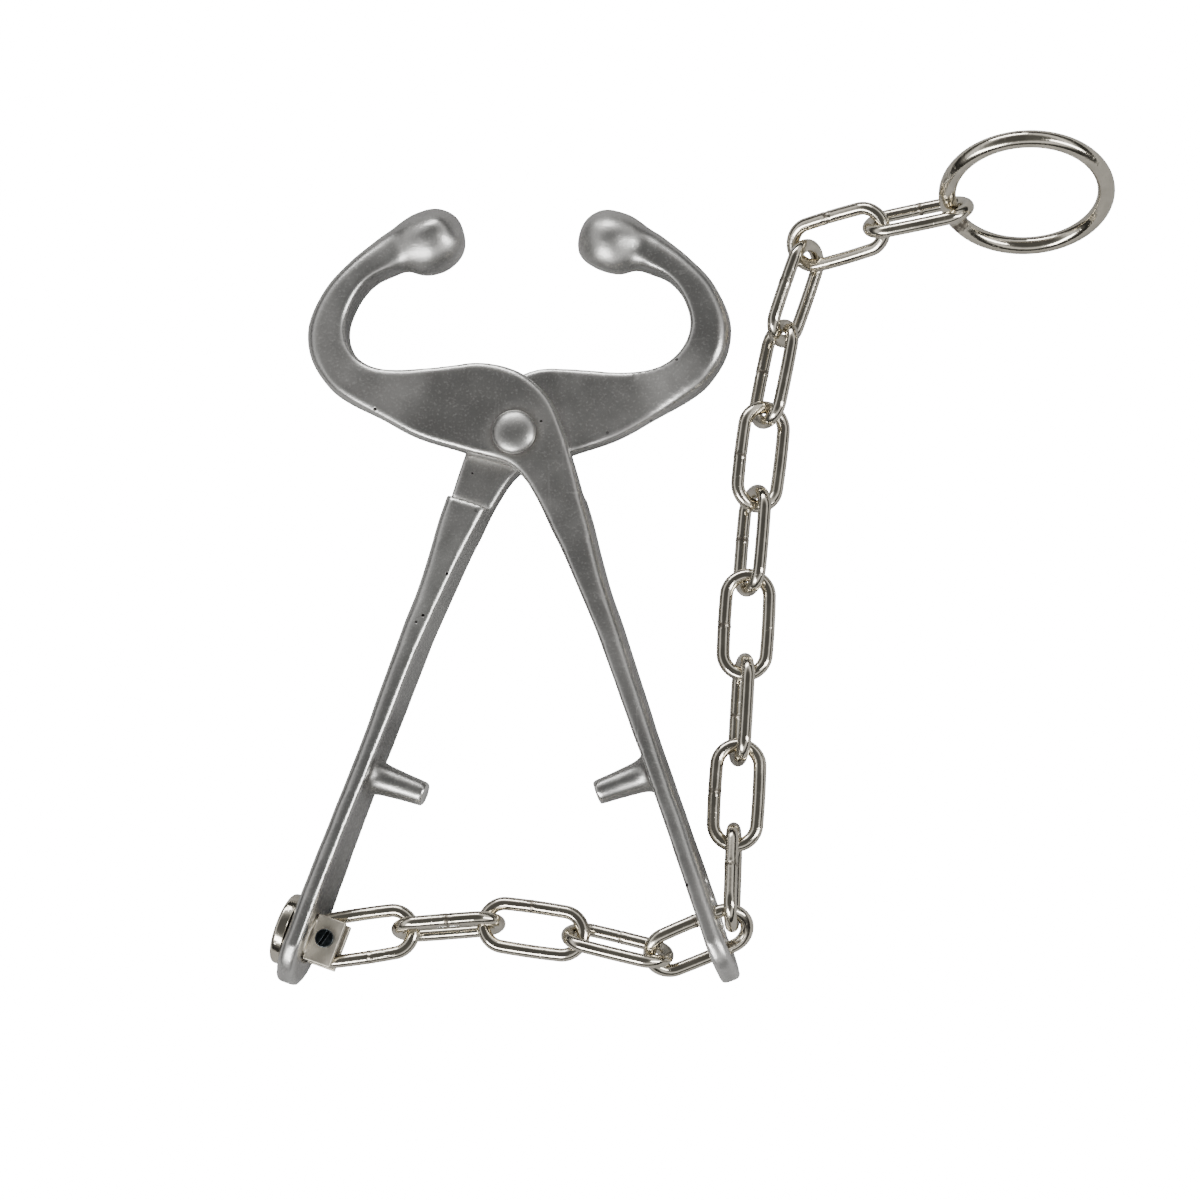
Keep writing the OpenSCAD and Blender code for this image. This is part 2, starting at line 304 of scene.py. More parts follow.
def nickel_plate(finish, name="Nickel plate", dirt=0.35, dull=0.08):
    """Bright warm grey plating over drawn wire, sooty brown at the welds, and darkened the same
    brown in corners as painted shade.
    """
    m, tree, shader = new_material(name)
    marks = marks_in(
        tree, Cloud_Size=0.007, Grain_Size=0.0009, Scratch_Size=0.0009, Pit_Spacing=0.006)
    weld, hollow = attribute(tree, "weld"), attribute(tree, "hollow")
    base = mix(tree, marks["Clouds"], shade(finish.nickel, 0.9), shade(finish.nickel, 1.08))
    # One brown for the sooty welds, the dirt in pits and the painted shade in hollows
    soot_dirt_and_shade = ramp(tree, times(tree, weld, marks["Grain"]), 0.26, 0.5)
    soot_dirt_and_shade = math_node(tree, "MAXIMUM", soot_dirt_and_shade, times(tree, hollow, 0.9))
    soot_dirt_and_shade = math_node(tree, "MAXIMUM", soot_dirt_and_shade, times(tree, marks["Pits"], dirt))
    base = mix(tree, times(tree, soot_dirt_and_shade, 0.8), base, SOOT_DIRT_AND_SHADE)
    tree.links.new(base, shader.inputs["Base Color"])
    rough = clouded_roughness(tree, marks, 0.07, dull)
    rough = math_node(tree, "ADD", rough, times(tree, soot_dirt_and_shade, 0.3))
    rough = math_node(tree, "ADD", rough, times(tree, marks["Scratches"], 0.1), clamp=True)
    tree.links.new(rough, shader.inputs["Roughness"])
    height = times(tree, marks["Grain"], 0.4)
    height = math_node(tree, "ADD", height, times(tree, weld, marks["Grain"]))
    height = math_node(tree, "SUBTRACT", height, times(tree, marks["Scratches"], 0.3))
    bump(tree, shader, height, 0.3, 0.0002)
    return m


def blued_steel(finish):
    """Dark blued screw, rubbed bright where the driver has turned it."""
    m, tree, shader = new_material("Blued steel")
    marks = marks_in(
        tree, Cloud_Size=0.002, Grain_Size=0.0004, Scratch_Size=0.0006, Pit_Spacing=0.003)
    edge, hollow = attribute(tree, "edge"), attribute(tree, "hollow")
    base = mix(tree, marks["Clouds"], shade(finish.blued, 0.7), shade(finish.blued, 1.3))
    base = mix(tree, times(tree, edge, 0.4), base, RUBBED_BLUE)
    # Painted shade, near black, in the slot and the screw's other hollows
    base = mix(tree, hollow, base, SLOT_PAINTED_SHADE)
    tree.links.new(base, shader.inputs["Base Color"])
    tree.links.new(clouded_roughness(tree, marks, 0.12, 0.26), shader.inputs["Roughness"])
    bump(tree, shader, marks["Grain"], 0.25, 0.0001)
    return m


def material(name, maker, *args):
    """The material of this name, made the first time it is asked for."""
    return bpy.data.materials.get(name) or maker(*args)


# ---------------------------------------------------------------- mesh tools
def mesh_object(name, mesh):
    o = bpy.data.objects.new(name, mesh)
    bpy.context.scene.collection.objects.link(o)
    return o


def from_bmesh(name, bm):
    mesh = bpy.data.meshes.new(name)
    bm.to_mesh(mesh)
    bm.free()
    return mesh_object(name, mesh)


def applied(o):
    """o with its modifiers made plain."""
    deps = bpy.context.evaluated_depsgraph_get()
    mesh = bpy.data.meshes.new_from_object(o.evaluated_get(deps))
    o.modifiers.clear()
    old, o.data = o.data, mesh
    bpy.data.meshes.remove(old)
    return o


def cut(o, *cutters):
    """o less each cutter; the cutters are used up."""
    for c in cutters:
        m = o.modifiers.new("Cut", "BOOLEAN")
        m.operation, m.solver, m.object = "DIFFERENCE", "EXACT", c
    applied(o)
    for c in cutters:
        bpy.data.objects.remove(c)
    return o


def fuse(o, grid, rounding):
    """The pieces of o run together like a casting, with rounded edges and corners."""
    m = o.modifiers.new("Fuse", "REMESH")
    m.mode, m.voxel_size, m.adaptivity = "VOXEL", grid, 0
    m = o.modifiers.new("Round", "SMOOTH")
    m.factor, m.iterations = 0.5, rounding
    return applied(o)


def surface_arrays(mesh):
    """Places and normals of a mesh's vertices."""
    co = np.empty(len(mesh.vertices) * 3, np.float32)
    no = np.empty(len(mesh.vertices) * 3, np.float32)
    mesh.vertices.foreach_get("co", co)
    mesh.vertex_normals.foreach_get("vector", no)
    return co.reshape(-1, 3), no.reshape(-1, 3)


def hand_ground(o, waves):
    """Soft lumps left by grinding by hand: (size, height, middle, radius) for each set of waves."""
    mesh = o.data
    co, no = surface_arrays(mesh)
    count = len(co)
    push = np.zeros(count, np.float32)
    for size, height, middle, radius in waves:
        reach = np.ones(count)
        if middle is not None:
            away = np.linalg.norm(co - np.array(middle), axis=1)
            reach = np.clip((1 - away / radius) * 2.5, 0, 1)
        for i in np.nonzero(reach > 0)[0]:
            push[i] += noise.noise(Vector(co[i] / size)) * height * reach[i]
    mesh.vertices.foreach_set("co", (co + no * push[:, None]).ravel())
    mesh.update()


def mark_curvature(o, reach, steps=4):
    """Attributes edge and hollow: how sharply the surface turns out or in, over about reach."""
    mesh = o.data
    co, no = surface_arrays(mesh)
    count = len(co)
    pairs = np.empty(len(mesh.edges) * 2, np.int32)
    mesh.edges.foreach_get("vertices", pairs)
    a, b = pairs.reshape(-1, 2).T
    degree = np.maximum(np.bincount(a, minlength=count) + np.bincount(b, minlength=count), 1)
    apart = co[b] - co[a]
    bend = ((no[b] - no[a]) * apart).sum(1) / np.maximum((apart ** 2).sum(1), 1e-12)

    def gather(values_a, values_b):
        return (np.bincount(a, values_a, count) + np.bincount(b, values_b, count)) / degree

    turn = gather(bend, bend) * reach
    for _ in range(steps):
        turn = 0.4 * turn + 0.6 * gather(turn[b], turn[a])
    for name, values in (("edge", turn), ("hollow", -turn)):
        layer = mesh.attributes.new(name, "FLOAT", "POINT")
        layer.data.foreach_set("value", np.clip(values, 0, 1).astype(np.float32))


def paint_shade_round(o, middle, radius, reach):
    """More of the hollow attribute, and so of its painted shade, on a ring of this radius round an
    upright axis.
    """
    layer = o.data.attributes["hollow"].data
    for v, value in zip(o.data.vertices, layer):
        away = abs(math.hypot(v.co.x - middle.x, v.co.y - middle.y) - radius) / reach
        value.value = max(value.value, 0.9 * math.exp(-away * away))


def finished(o, surface, body, *nodes):
    """Smooth shading, one material, and its place on the body that carries it."""
    o.data.materials.clear()
    o.data.materials.append(surface)
    o.data.polygons.foreach_set("use_smooth", [True] * len(o.data.polygons))
    o.data.update()
    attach(o, body)
    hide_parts(*nodes)
    return o


def axis_frame(at, z_axis, x_hint):
    """Matrix with its Z along z_axis, its X near x_hint and its origin at at."""
    z = z_axis.normalized()
    y = z.cross(x_hint).normalized()
    x = y.cross(z)
    return Matrix.Translation(at) @ Matrix((x, y, z)).transposed().to_4x4()


def lathe(outline, segments=96):
    """bmesh of an outline of (radius, height) turned about Z; both ends lie on the axis."""
    bm = bmesh.new()
    rings = []
    for r, z in outline:
        if r < 1e-9:
            rings.append([bm.verts.new((0, 0, z))])
            continue
        rings.append([bm.verts.new((r * math.cos(2 * math.pi * i / segments),
                                    r * math.sin(2 * math.pi * i / segments), z))
                      for i in range(segments)])
    for low, high in zip(rings, rings[1:]):
        for i in range(segments):
            j = (i + 1) % segments
            corners = (low[i % len(low)], low[j % len(low)],
                       high[j % len(high)], high[i % len(high)])
            bm.faces.new(list(dict.fromkeys(corners)))
    bmesh.ops.recalc_face_normals(bm, faces=bm.faces)
    return bm


def cylinder(radius, half, place, segments=64):
    """bmesh of a round cutter that reaches half its length either way along Z."""
    bm = lathe([(0, -half), (radius, -half), (radius, half), (0, half)], segments)
    bm.transform(place)
    return bm


def box_mesh(size, place):
    bm = bmesh.new()
    bmesh.ops.create_cube(bm, size=1, matrix=place @ Matrix.Diagonal((*size, 1)))
    return bm


def arc(centre, radius, start, end, steps):
    """Points of an arc in an outline, angles in degrees."""
    return [(centre[0] + radius * math.cos(math.radians(start + (end - start) * i / steps)),
             centre[1] + radius * math.sin(math.radians(start + (end - start) * i / steps)))
            for i in range(steps + 1)]


def cad_copy(name, piece):
    """A merged copy of a CAD node's mesh, to be worked further."""
    bm = bmesh.new()
    bm.from_mesh(frame["nodes"][name].data)
    bmesh.ops.remove_doubles(bm, verts=bm.verts, dist=1e-6)
    return from_bmesh(piece, bm)


# ---------------------------------------------------------------- levers
# Millimetres from the pivot, for the front lever. Half the depth of a jaw arm,
# the thickness of one lap, and half the depth of a handle's end
ARM, FULL, DEEP = 5.25, 6.0, 11.25
LAP_GAP = 0.2
# The lap recess: above and below the pivot, across the lever, and its depth
LAP_ABOVE, SHOULDER, LAP_WIDTH, RECESS = 26, 21, 48, 20
HANDLE_ANGLE = math.radians(-70.3)
HOLE = Vector((53.8, -131.7, 0))
PLATE = 5.0
# Radii of the holes, and the keyhole's slot; CUTTER is longer than any plate is thick
FRONT_BORE, REAR_BORE, SWIVEL_SEAT, KEYHOLE = 4.05, 4.0, 6.25, 8.8
SLOT_WIDTH, SLOT_LENGTH = 5.0, 13.0
CUTTER = 10
BALL_AT = Vector((-24, 54.3))
BALL_HEADING = math.radians(17)
BALL_RADIUS = 8.7
BALL_SHAPE = [(1.01, 0.06), (0.99, 0.2), (0.95, 0.36), (0.8, 0.62), (0.5, 0.88), (0.15, 1.0),
              (-0.25, 0.98), (-0.65, 0.87)]
# How much sharper the inner edges of an arm and of a handle are than the outer ones
SHARP, SOFT = 0.4, 1.25
# Upright slices: a point on the inner edge, a point on the outer edge, bottom,
# top and corner radius
JAW = [
    (-30.9, 46.0, -34.6, 57.8, -ARM - 0.4, ARM + 0.4, 5.4),
    (-35.4, 45.2, -39.8, 54.0, -ARM, ARM, 4.4),
    (-39.8, 43.2, -46.1, 48.4, -ARM, ARM, 3.5),
    (-43.6, 38.8, -52.6, 41.0, -ARM, ARM, 3.5),
    (-46.2, 32.0, -56.6, 31.4, -ARM + 0.15, ARM, 3.5),
    (-45.8, 26.5, -55.9, 22.6, -ARM + 0.6, ARM + 0.3, 3),
    (-42.5, 21.5, -51.3, 14.8, -ARM + 1.6, ARM + 0.5, 2.5),
    (-37.0, 18.6, -45.0, 9.9, -ARM + 3.1, FULL, 2.2),
    (-28.5, 18.0, -36.0, 4.9, LAP_GAP / 2, FULL, 1.8),
    (-18.5, 18.8, -25.5, -0.6, LAP_GAP / 2, FULL, 1.5),
    (-10.0, 19.5, -14.0, -4.3, LAP_GAP / 2, FULL, 1.5),
]
HANDLE = [
    (-3.0, 18.3, -4.5, -6.9, -FULL, FULL, 1.5),
    (3.2, 15.2, -0.5, -8.9, -FULL, FULL, 1.5),
    (9.0, 9.0, 2.4, -11.8, -FULL, FULL, 1.5),
    (13.2, -0.6, 4.9, -15.6, -FULL, FULL, 1.6),
    (16.4, -10.4, 7.6, -20.6, -FULL, FULL, 1.9),
    (18.4, -17.2, 10.0, -25.6, -FULL - 0.3, FULL + 0.3, 2.2),
    (21.0, -26.0, 13.2, -32.0, -FULL - 0.8, FULL + 0.8, 2.4),
    (24.2, -38.3, 17.2, -41.0, -FULL - 1.2, FULL + 1.2, 2.4),
    (29.5, -53.8, 23.6, -56.0, -FULL - 2, FULL + 2, 2.4),
    (33.2, -65.1, 27.8, -67.2, -FULL - 2.5, FULL + 2.5, 2.3),
    (39.4, -83.3, 34.5, -85.2, -DEEP + 2.6, DEEP - 2.6, 2.3),
    (47.0, -104.7, 42.3, -106.5, -DEEP + 1.2, DEEP - 1.2, 2.2),
    (53.8, -124.0, 49.1, -125.8, -DEEP, DEEP, 2.2),
    (57.4, -134.2, 52.7, -136.0, -DEEP, DEEP, 2.2),
]
END_TIP = Vector((60.74, -143.6))
END_STEPS = (8, 6.6, 5.2, 3.9, 2.8, 1.8, 1.0, 0.45, 0.12)
REAR_JAW = (0.985, 0.975)
PEG_BASE = Vector((38.3, -89.4, 0))
# Radius and height of the stop peg, from inside the handle to its rounded tip
PEG = [(0, -1.2), (6.0, -1.2), (5.9, 1.0), (5.1, 2.4), (4.5, 3.8), (4.15, 5.4), (3.9, 8),
       (3.65, 11), (3.35, 15.9), (3.25, 16.7), (2.95, 16.9), (0, 16.9)]
# Lumps from grinding: size and height all over, then size, height and reach round the ball
GRINDING = (9, 0.16)
BALL_LUMPS = (7.5, 0.75, 14)


def heading(angle):
    return Vector((math.cos(angle), math.sin(angle), 0))


def ball_slices():
    along = heading(BALL_HEADING).to_2d()
    across = Vector((-along.y, along.x))
    rows = []
    for s, half in BALL_SHAPE:
        c = BALL_AT + along * s * BALL_RADIUS
        n = across * half * BALL_RADIUS
        z = half * BALL_RADIUS * 0.95
        rows.append((*(c - n), *(c + n), -z, z, z, 1, 1))
    return rows


def end_slices():
    along = heading(HANDLE_ANGLE).to_2d()
    across = Vector((along.y, -along.x)) * PLATE
    rows = []
    for before in END_STEPS:
        p = END_TIP - along * before
        z = math.sqrt(max(0.01, DEEP ** 2 - max(0.0, DEEP - before) ** 2))
        rows.append((*p, *(p + across), -z, z, 2.2, 1.1, 0.7))
    return rows


def edged(rows, near, far):
    """Rows with the sharpness of their two edges, changing evenly from first to last."""
    last = len(rows) - 1
    return [(*r, near[0] + (near[1] - near[0]) * i / last, far[0] + (far[1] - far[0]) * i / last)
            for i, r in enumerate(rows)]


def smooth_rows(rows, steps):
    """Rows joined by a curve that passes through every one."""
    rows = np.array(rows, float)
    padded = np.vstack([rows[:1], rows, rows[-1:]])
    out = []
    for i in range(len(rows) - 1):
        a, b, c, d = padded[i:i + 4]
        for t in np.arange(steps) / steps:
            out.append(0.5 * (2 * b + (c - a) * t + (2 * a - 5 * b + 4 * c - d) * t * t
                              + (3 * b - a - 3 * c + d) * t ** 3))
    return out + [rows[-1]]


def slice_points(row, corner=7):
    """Points round a slice, its corners rounded but never past its own middle."""
    start, end = Vector((row[0], row[1])), Vector((row[2], row[3]))
    width = (end - start).length
    u = (end - start) / width
    low, high = max(row[4], -DEEP), min(row[5], DEEP)
    most = (high - low) / 2 - 0.02
    near = min(row[6] * row[7], width - 0.06, most)
    far = min(row[6] * row[8], width - 0.06, most)
    crowd = max(1, (near + far) / (width - 0.04))
    near, far = near / crowd, far / crowd
    centres = [(width - far, high - far, far), (near, high - near, near), (near, low + near, near),
               (width - far, low + far, far)]
    points = []
    for quarter, (t, z, r) in enumerate(centres):
        for i in range(corner + 1):
            a = math.radians(90 * quarter + 90 * i / corner)
            p = start + u * (t + r * math.cos(a))
            points.append((p.x * MM, p.y * MM, (z + r * math.sin(a)) * MM))
    return points


def loft(rows):
    """bmesh of a closed skin over the slices."""
    bm = bmesh.new()
    rings = [[bm.verts.new(p) for p in slice_points(row)] for row in rows]
    count = len(rings[0])
    for low, high in zip(rings, rings[1:]):
        for i in range(count):
            j = (i + 1) % count
            bm.faces.new((low[i], low[j], high[j], high[i]))
    bm.faces.new(rings[0])
    bm.faces.new(rings[-1])
    bmesh.ops.recalc_face_normals(bm, faces=bm.faces)
    return bm


def merge_into(bm, other):
    mesh = bpy.data.meshes.new("part")
    other.to_mesh(mesh)
    other.free()
    bm.from_mesh(mesh)
    bpy.data.meshes.remove(mesh)


def plate_frame():
    """Z along the handle plate's normal, X upright, at the hole near the handle's end."""
    return axis_frame(HOLE * MM, heading(HANDLE_ANGLE + math.pi / 2), Vector((0, 0, 1)))


def lever(name, jaw_size, hole_cutters):
    """One casting in the pivot's frame, as if it were the front one."""
    jaw = edged(JAW[:2], (0.9, 0.5), (1, 1)) + edged(JAW[2:], (SHARP, 0.8), (1, 1))
    across, up = jaw_size
    rows = [(r[0] * across, r[1] * up, r[2] * across, r[3] * up, *r[4:])
            for r in ball_slices() + jaw]
    handle = edged(HANDLE[:6], (1, SOFT), (1, 0.6)) + edged(HANDLE[6:], (SOFT, SOFT), (0.5, SHARP))
    body = from_bmesh(name, loft(smooth_rows(rows + handle + end_slices(), 5)))
    middle = Vector(((SHOULDER - LAP_ABOVE) / 2, 0, LAP_GAP / 2 - RECESS / 2))
    recess = box_mesh(
        ((LAP_ABOVE + SHOULDER) * MM, LAP_WIDTH * MM, RECESS * MM),
        Matrix.Rotation(HANDLE_ANGLE, 4, "Z") @ Matrix.Translation(middle * MM))
    cut(body, *[from_bmesh("cutter", c) for c in [recess] + hole_cutters])
    inward = heading(HANDLE_ANGLE - math.pi / 2)
    stub = lathe([(r * MM, z * MM) for r, z in PEG], 48)
    stub.transform(axis_frame(PEG_BASE * MM, inward, Vector((0, 0, 1))))
    bm = bmesh.new()
    bm.from_mesh(body.data)
    merge_into(bm, stub)
    bm.to_mesh(body.data)
    bm.free()
    settings = bpy.context.scene.nose_lead_levers
    fuse(body, settings.grid, settings.rounding)
    ball = Vector((BALL_AT.x * across, BALL_AT.y * up, 0)) * MM
    size, height, reach = BALL_LUMPS
    hand_ground(body, [(GRINDING[0] * MM, GRINDING[1] * MM, None, 0),
                       (size * MM, height * MM, ball, reach * MM)])
    return body


def keyhole_cutters():
    """The keyhole's eye, its slot towards the pivot, and the slot's round end."""
    place = plate_frame()
    eye = cylinder(KEYHOLE * MM, CUTTER * MM, place, 72)
    up = heading(HANDLE_ANGLE) * -SLOT_LENGTH * MM
    end = cylinder(SLOT_WIDTH / 2 * MM, CUTTER * MM, Matrix.Translation(up) @ place, 32)
    slot = box_mesh((SLOT_WIDTH * MM, SLOT_LENGTH * MM, 2 * CUTTER * MM),
                    Matrix.Translation(up / 2) @ place)
    return [eye, end, slot]


class NOSELEAD_OT_levers(bpy.types.Operator):
    """Cast the two crossed levers with their jaws, balls, handles and stop pegs"""
    bl_idname = "nose_lead.levers"
    bl_label = "Levers"

    def execute(self, context):
        steel = material("Cast steel", cast_steel, context.scene.nose_lead_finish)
        bore = cylinder(FRONT_BORE * MM, 1.5 * CUTTER * MM, Matrix.Identity(4))
        front = lever("Front_lever", (1, 1), [bore] + keyhole_cutters())
        front.data.transform(Matrix.Translation(PIVOT))
        bore = cylinder(REAR_BORE * MM, 1.5 * CUTTER * MM, Matrix.Identity(4))
        seat = cylinder(SWIVEL_SEAT * MM, CUTTER * MM, plate_frame())
        rear = lever("Rear_lever", REAR_JAW, [bore, seat])
        rear.data.transform(Matrix.Translation(PIVOT) @ Matrix.Rotation(math.pi, 4, "Y"))
        for o, body in ((front, "front_lever"), (rear, "rear_lever")):
            mark_curvature(o, 2.2 * MM)
            # Painted shade round the rivet's head, where it meets the lever
            paint_shade_round(o, PIVOT, 6.0 * MM, 1.6 * MM)
            finished(o, steel, body, body)
        return {"FINISHED"}


# ---------------------------------------------------------------- rivet
# From the pivot's middle to the underside of a head, just clear of the lap's face
HEAD_FACE = 6.1 * MM


class NOSELEAD_OT_rivet(bpy.types.Operator):
    """Close the pivot rivet, domed over both levers"""
    bl_idname = "nose_lead.rivet"
    bl_label = "Rivet"

    def execute(self, context):
        low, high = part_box("pivot_rivet")
        top = (high.z - low.z) / 2
        radius = (high.x - low.x) / 2
        rise = top - HEAD_FACE
        dome = [(radius * math.sin(a), HEAD_FACE + rise * (0.3 + 0.7 * math.cos(a)))
                for a in (math.radians(d) for d in range(6, 91, 6))]
        rim = [(radius * 0.985, HEAD_FACE + 0.12 * rise), (radius * 0.95, HEAD_FACE)]
        half = [(0, top)] + dome + rim + [(REAR_BORE * MM, HEAD_FACE)]
        outline = half + [(r, -z) for r, z in reversed(half)]
        bm = lathe(outline)
        bm.transform(Matrix.Translation(PIVOT))
        o = from_bmesh("Pivot_rivet", bm)
        mark_curvature(o, 1.2 * MM, 1)
        steel = material("Cast steel", cast_steel, context.scene.nose_lead_finish)
        finished(o, steel, "rear_lever", "pivot_rivet")
        return {"FINISHED"}


# ---------------------------------------------------------------- swivel
# The button, in millimetres: from the plate's middle to its inner face, its
# thickness, its radius, the rounding of its two rims, and its spigot
BUTTON_FACE, BUTTON_THICK, BUTTON_RADIUS = 2.8, 3.2, 9.5
OUTER_RIM, INNER_RIM = 1.1, 0.35
SPIGOT_RADIUS, SPIGOT_LENGTH = 2.5, 2.4


class NOSELEAD_OT_swivel(bpy.types.Operator):
    """Fit the swivel: its button, its clevis and the screw that holds the chain"""
    bl_idname = "nose_lead.swivel"
    bl_label = "Swivel"

    def execute(self, context):
        finish = context.scene.nose_lead_finish
        plate = material("Nickel plate", nickel_plate, finish)
        soiled = material("Soiled nickel", nickel_plate, finish, "Soiled nickel", 0.9, 0.42)
        # Button: a turned disc with a rounded rim, and its spigot
        place = axis_frame(SWIVEL_HOLE, SWIVEL_AXIS, Vector((0, 0, 1)))
        back = -BUTTON_FACE - BUTTON_THICK
        outline = [(0, back)]
        outline += arc((BUTTON_RADIUS - OUTER_RIM, back + OUTER_RIM), OUTER_RIM, -90, 0, 6)
        outline += arc((BUTTON_RADIUS - INNER_RIM, -BUTTON_FACE - INNER_RIM), INNER_RIM, 0, 90, 4)
        tip = SPIGOT_LENGTH - BUTTON_FACE
        outline += [(SPIGOT_RADIUS, -BUTTON_FACE), (SPIGOT_RADIUS, tip), (0, tip)]
        bm = lathe([(r * MM, z * MM) for r, z in outline])
        bm.transform(place)
        button = from_bmesh("Swivel_button", bm)
        mark_curvature(button, 0.8 * MM, 1)
        finished(button, plate, "swivel", "swivel_button")
        # Clevis and screw: the CAD's shapes with their edges broken
        for name, piece, grid, rounding, surface in (
                ("swivel_clevis", "Swivel_clevis", 0.2 * MM, 6, soiled),
                ("clevis_screw", "Clevis_screw", 0.1 * MM, 3,
                 material("Blued steel", blued_steel, finish))):
            o = fuse(cad_copy(name, piece), grid, rounding)
            mark_curvature(o, 0.8 * MM)
            finished(o, surface, "swivel", name)
        return {"FINISHED"}


# ---------------------------------------------------------------- welded wire
def wire_tree():
    """Geometry nodes: a closed loop of round wire with a weld, put in its place."""
    name = "Welded wire loop"
    if name in bpy.data.node_groups:
        return bpy.data.node_groups[name]
    g = bpy.data.node_groups.new(name, "GeometryNodeTree")
    face = g.interface
    sockets = (("Length", "Float", 0.0265), ("Width", "Float", 0.0107), ("Wire", "Float", 0.0035),
               ("Bow", "Float", 0.0), ("Weld At", "Float", 0.0), ("Weld Size", "Float", 0.0001),
               ("Weld Length", "Float", 0.0012), ("Seed", "Float", 0.0),
               ("Segments", "Int", 224), ("Sides", "Int", 18),
               ("Place", "Vector", None), ("Turn", "Rotation", None), ("Surface", "Material", None))
    for label, kind, default in sockets:
        s = face.new_socket(label, in_out="INPUT", socket_type="NodeSocket" + kind)
        if default is not None:
            s.default_value = default
    face.new_socket("Geometry", in_out="OUTPUT", socket_type="NodeSocketGeometry")
    start = node(g, "NodeGroupInput").outputs
    end = node(g, "NodeGroupOutput").inputs
    link = g.links.new

    def calc(operation, a, b=None, c=None):
        n = node(g, "ShaderNodeMath", operation=operation)
        for socket, value in zip(n.inputs, (a, b, c)):
            if isinstance(value, bpy.types.NodeSocket):
                link(value, socket)
            elif value is not None:
                socket.default_value = value
        return n.outputs[0]

    # Middle line of the wire: a rectangle with its ends rounded off
    rect = node(g, "GeometryNodeCurvePrimitiveQuadrilateral")
    link(start["Length"], rect.inputs["Width"])
    link(start["Width"], rect.inputs["Height"])
    fillet = node(g, "GeometryNodeFilletCurve")
    link(rect.outputs[0], fillet.inputs["Curve"])
    for socket in fillet.inputs:
        if socket.name == "Mode":
            socket.default_value = "Poly"
        elif socket.name == "Count":
            socket.default_value = 24
    if hasattr(fillet, "mode"):
        fillet.mode = "POLY"
    link(calc("MULTIPLY", start["Width"], 0.4999), fillet.inputs["Radius"])
    even = node(g, "GeometryNodeResampleCurve")
    link(fillet.outputs[0], even.inputs["Curve"])
    link(start["Segments"], even.inputs["Count"])
    middle = node(g, "GeometryNodeInputPosition").outputs[0]
    parts = node(g, "ShaderNodeSeparateXYZ")
    link(middle, parts.inputs[0])
    # The long sides bow outwards a little
    across = calc("DIVIDE", parts.outputs["Y"], start["Width"])
    way = calc("DIVIDE", parts.outputs["X"], start["Length"])
    bulge = calc("SUBTRACT", 1.0, calc("MULTIPLY", calc("MULTIPLY", way, way), 4.0))
    shift = node(g, "ShaderNodeCombineXYZ")
    link(calc("MULTIPLY", calc("MULTIPLY", across, 2.0), calc("MULTIPLY", bulge, start["Bow"])),
         shift.inputs["Y"])
    bowed = node(g, "GeometryNodeSetPosition")
    link(even.outputs[0], bowed.inputs["Geometry"])
    link(shift.outputs[0], bowed.inputs["Offset"])
    # How near each point is to the weld, as a bell from 0 to 1
    half_length, half_width = (calc("MULTIPLY", start[side], 0.5) for side in ("Length", "Width"))
    weld_x = calc("MULTIPLY", calc("COSINE", start["Weld At"]), half_length)
    weld_y = calc("MULTIPLY", calc("SINE", start["Weld At"]), half_width)
    dx = calc("DIVIDE", calc("SUBTRACT", parts.outputs["X"], weld_x), start["Weld Length"])
    dy = calc("DIVIDE", calc("SUBTRACT", parts.outputs["Y"], weld_y), start["Weld Length"])
    square = calc("ADD", calc("MULTIPLY", dx, dx), calc("MULTIPLY", dy, dy))
    bell = calc("EXPONENT", calc("MULTIPLY", square, -1.0))
    # The weld stands proud either side of a narrow seam
    seam = calc("EXPONENT", calc("MULTIPLY", square, -8.0))
    bead = calc("SUBTRACT", bell, calc("MULTIPLY", seam, 1.7))
    half = calc("MULTIPLY", start["Wire"], 0.5)
    size = calc("ADD", calc("DIVIDE", calc("MULTIPLY", bead, start["Weld Size"]), half), 1.0)
    kept = node(g, "GeometryNodeCaptureAttribute")
    link(bowed.outputs[0], kept.inputs[0])
    kept.capture_items.new("FLOAT", "Weld")
    link(bell, kept.inputs[1])
    radius = node(g, "GeometryNodeSetCurveRadius")
    link(kept.outputs[0], radius.inputs["Curve"])
    link(size, radius.inputs["Radius"])
    ring = node(g, "GeometryNodeCurvePrimitiveCircle")
    link(start["Sides"], ring.inputs["Resolution"])
    link(half, ring.inputs["Radius"])
    tube = node(g, "GeometryNodeCurveToMesh")
    link(radius.outputs[0], tube.inputs["Curve"])
    link(ring.outputs[0], tube.inputs["Profile Curve"])
